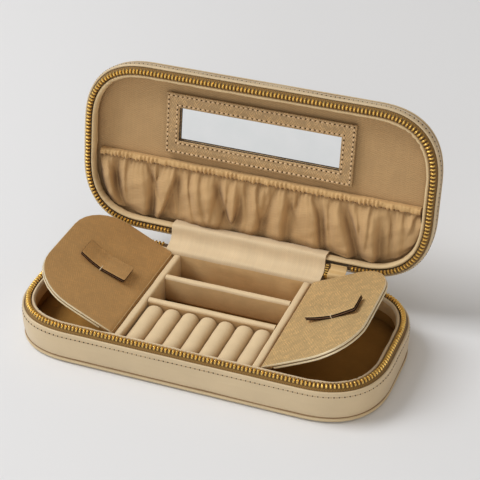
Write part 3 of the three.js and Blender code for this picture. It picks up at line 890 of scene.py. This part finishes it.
def hinge_pieces():
    ripple, sag = wander(31, 12, 40), wander(33, 7, 22)

    def wrinkle(offset, z, s, v):
        """Drawn tight over the hinge, the cloth hangs in slight folds below it."""
        amount = 0.12 * ripple(s, offset + z) - 0.5 * smooth(19, 10, z) * (sag(s + 0.5 * z) - 0.6)
        return offset + amount, z + 0.12 * ripple(s, offset + z) * smooth(18, 22, z)
    gusset = sheet_profile([
        [40.75, 4.65], [40.75, 12], [40.62, 16.5], [40.62, 20.6], [41.4, 22.25], [45, 22.7], [48, 24.2],
        [49.35, 27], [49.95, 31.2], [50.8, 32.35], [52.2, 32.45], [56.6, 31.65]], 0.25)
    # below 19.6 mm the cloth takes the painted shade stand-in
    part = along_x(gusset, GUSSET_HALF, 1.6, wrinkle, [int(z < 19.6) for _, z in gusset])
    piece("gusset_cloth", part, [hinge_cloth, rear_cloth_painted_shade],
          ("base", "lid", mm(0, 43, 20.5), mm(0, 50.5, 30)), "hinge_gusset")
    spine = sheet_profile([[49.35, 14], [49.35, 20.5], [49.75, 21.9], [50.8, 22.9], [52.1, 23.15],
                           [57, 22.32]], 0.4, 1.2)
    piece("spine_leather", along_x(spine, SPINE_HALF), [champagne],
          ("base", "lid", mm(0, 49.3, 20.2), mm(0, 53.2, 23.6)), "hinge_spine")


# ---- compartments ----

def wall_profile(a0, a1):
    return rounded([[a0, FLOOR_Z], [a1, FLOOR_Z], [a1, PARTITION_TOP], [a0, PARTITION_TOP]], 1.7, 5)


def plump(seed):
    """Suede stretched over padding, fuller along its top."""
    swell = wander(seed, 12, 34)

    def warp(offset, z, s, v):
        height = smooth(8, 20, z)
        centre = (offset.max() + offset.min()) / 2
        return (offset + 0.12 * swell(s, v) * np.sign(offset - centre) * (0.4 + 0.6 * height),
                z + 0.06 * swell(s + 40, 0) * height)
    return warp


def roll(x):
    """A soft roll: a pressed cylinder with a sewn, dished end."""
    r = ROLL_RADIUS
    profile = rounded([(0, 2.2), (0.9, 4.1), (2.4, r), (8, r), (16, r), (24, r), (30.6, r),
                       (32.4, r - 0.12), (33.6, r - 0.5), (34.25, r - 1.15), (34.45, r - 1.9),
                       (34.3, r - 2.4), (34.45, r - 3.0), (34.55, 0.7)], 1.0, 3, closed=False)
    turn = circle(28)
    side, up = blunt(np.cos(turn), 0.88), blunt(np.sin(turn), 0.94)
    swell = wander(int(50 + x), 8, 22)
    rows = []
    for along, out in profile:
        lean = out + 0.14 * swell(turn * 5, along) * (out > 3)
        rows.append(np.stack([x + lean * side, np.full(28, ROLL_FRONT + along), ROLL_Z + lean * up], -1))
    around = np.append(turn, 2 * np.pi) * r
    return lattice(np.array(rows), around, [p[0] for p in profile], False, True, cap_rows=True)


def compartment_pieces():
    for word, side in (("left", -1), ("right", 1)):
        lo, hi = sorted((side * PARTITION_IN, side * PARTITION_OUT))
        run = straight((0, -40.8), (0, 40.1), 0)
        part = sweep(run, wall_profile(lo, hi), (0, run.length), 1.6, plump(41 + side))
        piece(word + "_partition_suede", part, [cream], "base", word + "_partition")
    for word, y in DIVIDERS.items():
        profile = wall_profile(y - DIVIDER_HALF, y + DIVIDER_HALF)
        # the dividers' sides below their tops take the painted shade copy
        part = along_x(profile, 36.1, 1.6, plump(44), [int(z < 18.5) for _, z in profile])
        piece(word + "_divider_suede", part, [cream, face_suede_painted_shade], "base", word + "_divider")
    pad = plate(-35.9, 35.9, 17.3, 0.6, 0.6, [[0.6, 8.7], [0.1, 8.4], [0, 7.8], [0, FLOOR_Z]], 30, 14)
    piece("ring_pad_velvet", pad.moved(lambda p: p + [0, -23.3, 0]), [velvet], "base", "ring_pad")
    for number in range(ROLL_COUNT):
        part = roll((number - (ROLL_COUNT - 1) / 2) * ROLL_PITCH)
        piece("ring_roll_suede_%d" % (number + 1), part, [cream], "base", "ring_roll_%d" % (number + 1))


# ---- side flaps ----

def flap_place(side):
    """From (u outwards, y, h above the flap's axis) to the case's frame."""
    c, s = math.cos(math.radians(FLAP_TILT)), math.sin(math.radians(FLAP_TILT))

    def place(p):
        return np.stack([side * (FLAP_AXIS_X + p[:, 0] * c - p[:, 2] * s), p[:, 1],
                         FLAP_AXIS_Z + p[:, 0] * s + p[:, 2] * c], -1)
    return place


def flap_point(side, u, h):
    return mm(*flap_place(side)(np.array([[u, 0.0, h]]))[0])


def flap_pieces(word, side):
    place, point = flap_place(side), lambda u, h: flap_point(side, u, h)
    strip, flap = word + "_flap_hinge_strip", word + "_flap"
    leather = FLAP_LEATHER[word]
    bow = wander(60 + side, 30, 90, 5)

    def drape(u, y, h):
        return 0.22 * bow(u, y) * smooth(6, 30, u) - 0.35 * smooth(3.2, 1, u)
    edge = [[0.3, 1.3], [0.08, 1.22], [0, 1.05], [0, 0.45], [0.08, 0.28], [0.3, 0.2]]
    top = plate(1.25, FLAP_REACH, FLAP_HALF_Y, 0.3, FLAP_CORNER, edge, 40, 34, drape, [0, 1, 1, 1, 1, 0])
    piece(word + "_flap_leather", top.moved(place), [leather, gilt],
          (strip, flap, point(FLAP_CREASE - 1.5, 1.2), point(FLAP_CREASE + 1.5, 1.2)),
          word + "_flap_top", word + "_flap_spine")
    edge = [[0.3, -0.4], [0.08, -0.48], [0, -0.65], [0, -1.3], [0.08, -1.44], [0.3, -1.5]]
    under = plate(8.1, FLAP_REACH, FLAP_HALF_Y, 0.3, FLAP_CORNER, edge, 30, 24, drape, [0, 1, 1, 1, 1, 0])
    piece(word + "_flap_under_leather", under.moved(place), [leather, gilt], flap,
          word + "_flap_underside")
    core = plate(8.1, FLAP_REACH - 0.45, FLAP_HALF_Y - 0.45, 0.3, FLAP_CORNER - 0.45,
                 [[0, 0.16], [0, -0.36]], 30, 24, drape)
    piece(word + "_flap_core", core.moved(place), [core_edge], flap, word + "_flap_board")
    edge = [[0.2, 0.2], [0, 0.05], [0, -0.9], [0.2, -1.1]]
    piece(word + "_flap_strip_under", plate(1.1, 7.6, 39.8, 0.2, 0.2, edge, 6, 20).moved(place), [grained],
          strip)

    # the leather's root: it climbs the partition and folds over into the strip
    bend = place(np.array([[1.5, 0, -0.2], [2.6, 0, -0.2]])) * [side, 1, 1]
    line = [[41.0, 11.5], [41.0, 17.2], [41.1, 18.3], *bend[:, [0, 2]].tolist()]
    run = straight((0, -39.4), (0, 39.4), 0)
    root = sweep(run, sheet_profile(line, 0.25, 0.8) * [side, 1], (0, run.length), 2.5)
    piece(word + "_flap_root", root, [grained], ("base", strip, mm(side * 41, 0, 17.9), point(1.9, 0.2)))


def tab_pieces(word, side):
    """A short strap sewn down across its middle; each half is two leathers back to back."""
    place = flap_place(side)
    flap = word + "_flap"
    seam = TABS[word]["seam"]
    slope = math.tan(math.radians(TAB_LIFT))
    # how far each wing's tip stands up, and where along the wing it starts to
    curls = {("left", "outer"): (0.8, 6), ("left", "inner"): (0.1, 6),
             ("right", "outer"): (0.3, 6), ("right", "inner"): (0.5, 8)}
    for half, out in (("outer", 1), ("inner", -1)):
        (curl, start), reach = curls[word, half], TABS[word][half]

        def rise(t, b, h):
            bend = np.maximum(t - start, 0) / (reach - start)
            return ((t - 1) * slope * smooth(0.5, 3, t) + 0.08 * np.sin(b)
                    + curl * (bend + 0.12 * np.minimum(bend * 4, 1) * bend))
        edge = [[0.12, 1.9], [0, 1.8], [0, 1.12], [0.14, 1.04], [0.14, 0.86], [0, 0.78], [0, 0.1],
                [0.12, 0]]
        leaf = plate(-0.14, reach, TAB_HALF, 0.1, 0.9, edge, 22, 10, rise, [0, 1, 1, 2, 2, 2, 1, 1])

        def lay(p):
            return place(np.stack([seam + out * p[:, 0], TAB_Y + p[:, 1], p[:, 2] + 1.32], -1))
        name = "%s_tab_%s" % (word, half)
        piece(name + "_leather", leaf.moved(lay), [FLAP_LEATHER[word], dark_edge, glue_line],
              (flap, name + "_wing", flap_point(side, seam + out * 0.8, 1.5),
               flap_point(side, seam + out * 3.2, 1.5)), name)
    edge = [[0.1, 2.55], [0, 2.45], [0, 1.45], [0.1, 1.35]]
    pad = plate(seam - 0.35, seam + 0.35, TAB_HALF - 0.3, 0.1, 0.1, edge, 2, 10)
    piece(word + "_tab_seam_leather", pad.moved(lambda p: place(p + [0, TAB_Y, 0])), [grained], flap,
          word + "_tab_seam")
    front = TAB_Y - TAB_HALF
    loop = rounded([[seam, front + 2.4, 2.96], [seam, front + 2.1, 3.12], [seam, front - 0.28, 3.12],
                    [seam + 0.2, front - 0.4, 1.36], [seam + 0.2, front + 0.3, 1.3]], 0.3, 3, closed=False)
    normal = place(np.array([[0, 0, 1.0]])) - place(np.array([[0, 0, 0.0]]))
    holes = np.array([[seam, y, 2.92] for y in (-0.3, 2.7, 4.3)])
    parts = [tube(place(loop), 0.26, 8)]
    # dark marks for the needle holes: painted shade
    parts += seeds(place(holes), np.tile([0, 1.0, 0], (3, 1)), np.tile(normal, (3, 1)), 0.9, 0.26, 1, 0.08)
    piece(word + "_tab_stitches", joined(parts), [thread_light, needle_hole_shade], flap)


# ---- mirror ----

def mirror_pieces():
    face, width, side_in, side_out = FRAME_FACE, FRAME_WIDTH, 1.5, FRAME_WIDTH - 1.5
    middle = width / 2
    profile = rounded([[0, GLASS_Z], [0, face + 0.5], [0.5, face + 0.02], [side_in, face + 0.2],
                       [middle, face - 0.12], [side_out, face + 0.2], [width - 0.5, face + 0.05],
                       [width, face + 0.6], [width - 0.2, face + 1.4], [width - 0.9, 31.1],
                       [width - 0.9, 31.6], [2.4, 31.6], [2.4, GLASS_Z]], 0.6, 3)

    def corners(inset):
        return np.array([[1, 1], [1, -1], [-1, -1], [-1, 1]]) * [WINDOW_X + inset, WINDOW_Y + inset]
    swell = wander(71, 14, 40)
    shares = np.arange(24)[:, None] / 24
    rows, slots = [], []
    for (offset, z), (offset2, z2) in zip(profile, np.roll(profile, -1, 0)):
        turns = corners(offset)
        x, y = np.vstack([a + (b - a) * shares for a, b in zip(turns, np.roll(turns, -1, 0))]).T
        puffed = -0.1 * swell(x, y) * (z < face + 0.6) * (0.5 < offset < width - 0.5)
        rows.append(np.stack([x, MIRROR_Y + y, z + puffed], -1))
        # the undercut outer sides (slot 2) are very dark: partly the leather's painted edge, partly painted
        # shade under the overhang
        under = min(offset, offset2) > middle and min(z, z2) > face + 0.9
        slots.append(1 if offset + offset2 < 0.05 else 2 if under else 0)
    part = lattice(np.array(rows), np.zeros(len(rows[0]) + 1), np.zeros(len(rows) + 1), True, True,
                   slots=slots)
    part.uvs = [tuple(part.points[i, :2]) for face_points in part.faces for i in face_points]
    piece("mirror_frame_leather", part, [frame_leather, dark_edge, frame_edge_and_shade], "lid", "mirror_frame")

    # the glass stands proud of its backing and is ground to a narrow bevel
    glass_edge = [[1.2, GLASS_Z + 0.02], [0, GLASS_Z + 0.12], [0, 31.2], [0.2, 31.3]]
    pane = plate(-WINDOW_X - 2.1, WINDOW_X + 2.1, WINDOW_Y + 2.1, 0.2, 0.2, glass_edge, 12, 6)
    piece("mirror_pane", pane.moved(lambda p: p + [0, MIRROR_Y, 0]), [glass], "lid", "mirror_glass",
          sharp=5)
    rows = []
    for inset in (side_in, side_out):
        turns = corners(inset)
        for a, b in zip(np.roll(turns, 1, 0), turns):
            run = np.linalg.norm(b - a)
            count = int(round(run / 2.7))
            x, y = (a + (b - a) * (np.arange(count)[:, None] + 0.5) / count).T
            row = np.stack([x, MIRROR_Y + y, x * 0 + face + 0.1], -1)
            rows.append(stitch_line(row, [*(b - a) / run, 0], [0, 0, -1], 1.8, 0.52, 0.4, 0.3))
    piece("mirror_frame_stitches", joined(rows), [frame_thread, needle_hole_shade], "lid")


# ---- gathered pocket ----

def gathers(seed, low, high, x, v, drift, steep=0.8, skew=(0.4, 0.6)):
    """Rounded folds side by side with sharp valleys between: each has its own width, slant and height."""
    rng = np.random.default_rng(seed)
    edges = [-POCKET_HALF_X - high]
    while edges[-1] < POCKET_HALF_X + high:
        edges.append(edges[-1] + rng.uniform(low, high))
    edges = np.array(edges)
    slant = rng.normal(0, drift, len(edges))
    bend = rng.normal(0, drift * 0.6, len(edges))
    size = rng.uniform(0.55, 1.0, len(edges))
    peak = rng.uniform(*skew, len(edges))
    lines = edges[:, None] + slant[:, None] * v[None, :] + bend[:, None] * v[None, :] ** 2
    lines = np.maximum.accumulate(lines, axis=0)
    out = np.zeros_like(x)
    for row in range(len(v)):
        cell = np.clip(np.searchsorted(lines[:, row], x[row]) - 1, 0, len(edges) - 2)
        start, end = lines[cell, row], lines[cell + 1, row]
        t = np.clip((x[row] - start) / np.maximum(end - start, 0.5), 0, 1)
        top = peak[cell]
        t = np.where(t < top, 0.5 * t / top, 0.5 + 0.5 * (t - top) / (1 - top))
        width = smooth(0.5, 4, end - start)
        out[row] = size[cell] * width * np.sin(np.pi * t) ** steep
    return out


def softened(field, across, along):
    """A height field with its sharpest creases eased."""
    for axis, passes in ((1, across), (0, along)):
        for _ in range(passes):
            wide = np.pad(field, [(1, 1) if k == axis else (0, 0) for k in (0, 1)], mode="edge")
            first = np.take(wide, range(field.shape[axis]), axis)
            last = np.take(wide, range(2, field.shape[axis] + 2), axis)
            field = (first + 2 * field + last) / 4
    return field


def pocket_bottom(x):
    """How far the pocket reaches at each x: the sewn edge follows the lid's outline."""
    s = np.linspace(0, rim.length, 1600)
    px, py, nx, ny = rim.at(s)
    keep = py > 5
    ox, oy = (px - 5.5 * nx)[keep], (py - 5.5 * ny)[keep]
    order = np.argsort(ox)
    return np.interp(x, ox[order], oy[order])


def pocket_pieces():
    columns, rows = 420, 56
    x = np.linspace(-POCKET_HALF_X, POCKET_HALF_X, columns)
    v = np.linspace(0, 1, rows)
    bottom = np.maximum(pocket_bottom(x), POCKET_Y + 1.2)
    y = POCKET_Y + (bottom - POCKET_Y)[None, :] * v[:, None]
    xx = np.repeat(x[None, :], rows, 0)
    vv = v[:, None]
    depth = smooth(0, 14, bottom - POCKET_Y)[None, :]
    big = gathers(81, 12, 24, xx, v, 9, 1.4, (0.64, 0.84))
    middle = gathers(82, 6, 11, xx, v, 6, 1.0, (0.6, 0.85))
    small = gathers(83, 1.9, 3.4, xx, v, 1.2)
    fall = 1 - 0.3 * smooth(0.85, 1.0, vv)
    height = 0.4 + 1.4 * (1 - vv) ** 2
    height = height + depth * fall * 7.6 * big * smooth(-0.05, 0.45, vv)
    height = height + (depth * fall * 2.4 * middle * smooth(-0.15, 0.15, vv)
                       * (1 - 0.55 * smooth(0.35, 1, vv)))
    height = height + 1.5 * small * np.exp(-(vv / 0.24) ** 1.4)
    height = height + depth * fall * 0.3 * wander(85, 5, 16)(xx, y) * smooth(0, 0.3, vv)
    height = softened(height, 1, 2)
    lean = depth * (1.5 * wander(87, 14, 40)(xx, y * 0.4) + 0.22 * (height - 2)) * smooth(0, 0.4, vv) * fall
    front = np.stack([xx + lean, y, LINING_Z - height], -1)
    back = np.stack([xx, y, np.full_like(y, LINING_Z)], -1)
    sheet = lattice(front, x, np.linspace(0, 31, rows))
    lip = lattice(np.stack([front[0], back[0]]), x, [0, 1])
    rear = lattice(back[[0, -1]], x, [0, 31])
    hem = lattice(np.stack([front[-1], back[-1]]), x, [0, 1])
    ends = [lattice(np.stack([front[:, c], back[:, c]]), v * 31, [0, 1]) for c in (0, -1)]
    part = joined([sheet, lip, rear, hem, *ends])
    piece("pocket_gathers", part, [pocket_cloth], "lid", "pocket_panel", sharp=70)

    tucks = wander(91, 1.7, 2.6, 9)
    slack = wander(92, 9, 30)
    profile = rounded([[BAND_Y, 30.8], [BAND_Y, 28.6], [BAND_Y + 0.5, 27.5], [BAND_Y + 2, 27.15],
                       [BAND_Y + 3.4, 27.6], [BAND_Y + 4, 28.6], [BAND_Y + 4, 31.6],
                       [BAND_Y, 31.6]], 0.7, 4)

    def ruffle(offset, z, s, w):
        loose = (z < 31) * 1.0
        return (offset + loose * 0.2 * slack(s) * (offset < BAND_Y + 2),
                z - loose * (0.6 * np.maximum(tucks(s, offset * 0.2), -0.7) + 0.1))
    piece("pocket_elastic", along_x(profile, 93.4, 0.35, ruffle), [band_cloth], "lid", "pocket_band")
    xs = np.arange(-90, 90, 2.4)
    row = np.stack([xs, xs * 0 + BAND_Y + 3.2, xs * 0 + 27.3], -1)
    piece("pocket_stitches", stitch_line(row, [1, 0, 0], [0, 0.35, -0.94], 1.4, 0.2, 0.3, 0.4),
          [seam_thread, tuck_shadow], "lid")


# ---- build ----

shell_pieces()
zip_pieces()
slider_pieces()
pull_pieces()
zip_end_pieces()
hinge_pieces()
compartment_pieces()
for flap_word, flap_side in (("left", -1), ("right", 1)):
    flap_pieces(flap_word, flap_side)
    tab_pieces(flap_word, flap_side)
mirror_pieces()
pocket_pieces()

# the boards and cards inside the walls stay as the CAD has them
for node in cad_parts.values():
    if not node.hide_render:
        node.data.materials.clear()
        node.data.materials.append(card)


# ---- floor, light and camera ----

def stage():
    floor = Shader("floor")
    floor.set(Base_Color=(0.8, 0.81, 0.83, 1), Roughness=0.75)
    mesh = bpy.data.meshes.new("floor")
    mesh.from_pydata([(-4, -4, 0), (4, -4, 0), (4, 4, 0), (-4, 4, 0)], [], [(0, 1, 2, 3)])
    mesh.materials.append(floor.material)
    obj = bpy.data.objects.new("floor", mesh)
    bpy.context.scene.collection.objects.link(obj)


def area_light(name, place, aim, size, watts):
    light = bpy.data.lights.new(name, "AREA")
    light.energy, light.size = watts, size
    obj = bpy.data.objects.new(name, light)
    bpy.context.scene.collection.objects.link(obj)
    obj.location = place
    obj.rotation_euler = (Vector(aim) - Vector(place)).to_track_quat("-Z", "Y").to_euler()


def studio_world(strength, left, right):
    """Even light from all round, whose tint changes from the left of the case to its right."""
    world = bpy.data.worlds.new("studio")
    nodes = Nodes(world)
    across = nodes.node("SeparateXYZ", {0: nodes.node("TexCoord")})
    share = nodes.node("MapRange", {0: across, 2: 0.9})
    tint = nodes.node("Mix", {0: share, 6: left, 7: right}, 2, data_type="RGBA")
    background = nodes.tree.nodes["Background"]
    nodes.feed(background.inputs[0], tint)
    nodes.feed(background.inputs[1], strength)
    bpy.context.scene.world = world


def camera(azimuth, elevation, roll, distance, across, up, lens):
    """A camera looking at a point given across and up in its own picture plane."""
    a, e, r = (math.radians(k) for k in (azimuth, elevation, roll))
    back = Vector((math.sin(a) * math.cos(e), -math.cos(a) * math.cos(e), math.sin(e)))
    right = Vector((math.cos(a), math.sin(a), 0))
    above = back.cross(right)
    aim = right * across + above * up
    right = right * math.cos(r) + above * math.sin(r)
    turned = Matrix((right, back.cross(right), back)).transposed().to_4x4()
    turned.translation = aim + back * distance
    data = bpy.data.cameras.new("camera")
    data.lens, data.sensor_width, data.clip_start = lens, 36, 0.01
    obj = bpy.data.objects.new("camera", data)
    bpy.context.scene.collection.objects.link(obj)
    obj.matrix_world = turned
    bpy.context.scene.camera = obj


stage()
area_light("key", (-1.45, -0.35, 1.85), (0, 0, 0.03), size=1.1, watts=36)
area_light("fill", (0.5, -2.0, 0.6), (0, 0, 0.04), size=1.3, watts=9.7)
studio_world(0.415, left=(1, 1, 1, 1), right=(1, 0.8, 0.55, 1))
bpy.context.scene.view_settings.view_transform = "Standard"
camera(azimuth=21.27, elevation=32.97, roll=-0.23, distance=0.84386, across=0.01392, up=0.0528, lens=117.5)
